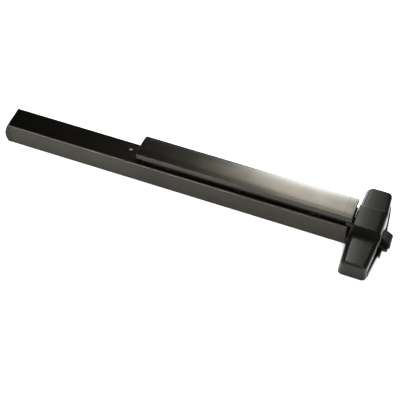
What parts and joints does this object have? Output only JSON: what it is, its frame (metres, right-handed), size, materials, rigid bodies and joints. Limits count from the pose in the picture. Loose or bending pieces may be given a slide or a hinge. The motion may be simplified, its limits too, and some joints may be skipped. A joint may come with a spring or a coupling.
{
  "type": "panic exit bar",
  "caption": "Push-pad panic exit bar: long case with a sprung crowned pad, end cap, and a head whose ribbed latch bolt retracts when the pad is pressed.",
  "frame": {"origin": "centre of the head's back face, on the door plane", "axes": "+X along the bar towards the latch, +Y up the door across the bar, +Z out of the door; the part lies on its back"},
  "size_m": [0.901, 0.2151, 0.097],
  "materials": {
    "bronze_anodised": "satin dark bronze anodised aluminium",
    "bronze_painted": "satin dark bronze powder paint",
    "blackened_steel": "black oxide on steel, slightly rough",
    "zinc_plated": "bright zinc plate on pressed steel",
    "bright_steel": "ground steel",
    "black_rubber": "moulded black rubber"
  },
  "bodies": {
    "base": {"mechanism_case": "bronze_anodised", "cover_plate": "bronze_anodised", "latch_side_filler": "bronze_painted", "end_cap": "bronze_painted", "end_cap_screw": "blackened_steel", "end_bracket": "zinc_plated", "end_mount_screw_upper": "zinc_plated", "end_mount_screw_lower": "zinc_plated", "crank_bracket_hinge": "zinc_plated", "crank_bracket_latch": "zinc_plated", "crank_pivot_pin_hinge": "bright_steel", "crank_pivot_pin_latch": "bright_steel", "rail_bumper_hinge": "black_rubber", "rail_bumper_latch": "black_rubber", "rod_guide": "zinc_plated", "rod_spring": "bright_steel", "dogging_bracket": "zinc_plated", "head_chassis": "bronze_painted", "head_cover": "bronze_painted", "cover_screw": "blackened_steel", "head_mount_screw_upper_left": "zinc_plated", "head_mount_screw_upper_right": "zinc_plated", "head_mount_screw_lower_left": "zinc_plated", "head_mount_screw_lower_right": "zinc_plated", "latch_edge_guide": "blackened_steel", "latch_housing": "zinc_plated", "latch_spring": "bright_steel", "deadlatch_spring": "bright_steel", "lever_pivot_pin": "bright_steel"},
    "push_bar": {"push_pad": "bronze_anodised", "pad_end_cap_hinge": "bronze_anodised", "pad_end_cap_latch": "bronze_anodised", "push_rail": "blackened_steel", "rail_pin_hinge": "bright_steel", "rail_pin_latch": "bright_steel", "dogging_catch": "zinc_plated"},
    "bell_crank_hinge_side": {"bell_crank_hinge": "zinc_plated"},
    "bell_crank_latch_side": {"bell_crank_latch": "zinc_plated"},
    "control_rod": {"control_rod": "zinc_plated", "rod_pin_hinge": "bright_steel", "rod_pin_latch": "bright_steel", "rod_collar": "bright_steel"},
    "retractor": {"retractor_lever": "zinc_plated", "lever_rod_pin": "bright_steel", "lever_bolt_pin": "bright_steel"},
    "latch": {"latch_bolt": "blackened_steel"},
    "deadlatch": {"deadlatch": "blackened_steel"},
    "dogging": {"dogging_screw": "blackened_steel", "dogging_hook": "zinc_plated"}
  },
  "joints": [
    {"name": "push_bar_travel", "type": "slide", "parent": "base", "child": "push_bar", "axis": [0, 0, -1], "range_m": [0, 0.019], "stiffness_N_per_m": 1500, "springref_m": -0.012},
    {"name": "crank_hinge_turn", "type": "hinge", "parent": "base", "child": "bell_crank_hinge_side", "pos_m": [-0.455, 0, 0.03], "axis": [0, -1, 0], "range_deg": [0, 32.6]},
    {"name": "crank_latch_turn", "type": "hinge", "parent": "base", "child": "bell_crank_latch_side", "pos_m": [-0.12, 0, 0.03], "axis": [0, -1, 0], "range_deg": [0, 32.6]},
    {"name": "control_rod_travel", "type": "slide", "parent": "base", "child": "control_rod", "axis": [-1, 0, 0], "range_m": [0, 0.0114], "deforming": ["rod_spring"]},
    {"name": "retractor_turn", "type": "hinge", "parent": "base", "child": "retractor", "pos_m": [-0.008, 0, 0.0695], "axis": [0, 1, 0], "range_deg": [0, 31.8]},
    {"name": "latch_travel", "type": "slide", "parent": "base", "child": "latch", "axis": [-1, 0, 0], "range_m": [0, 0.0182], "deforming": ["latch_spring"]},
    {"name": "deadlatch_travel", "type": "slide", "parent": "base", "child": "deadlatch", "axis": [-1, 0, 0], "range_m": [0, 0.014], "stiffness_N_per_m": 300, "springref_m": -0.006, "deforming": ["deadlatch_spring"]},
    {"name": "dogging_turn", "type": "hinge", "parent": "base", "child": "dogging", "pos_m": [-0.544, 0.008, 0], "axis": [0, 0, 1], "range_deg": [0, 90]}
  ],
  "couplings": [
    {"joint": "crank_hinge_turn", "follows": "push_bar_travel", "rad_per_m": 29.762},
    {"joint": "crank_latch_turn", "follows": "push_bar_travel", "rad_per_m": 29.762},
    {"joint": "control_rod_travel", "follows": "push_bar_travel", "ratio": 0.59633},
    {"joint": "retractor_turn", "follows": "push_bar_travel", "rad_per_m": 29.037},
    {"joint": "latch_travel", "follows": "push_bar_travel", "ratio": 0.95183}
  ]
}
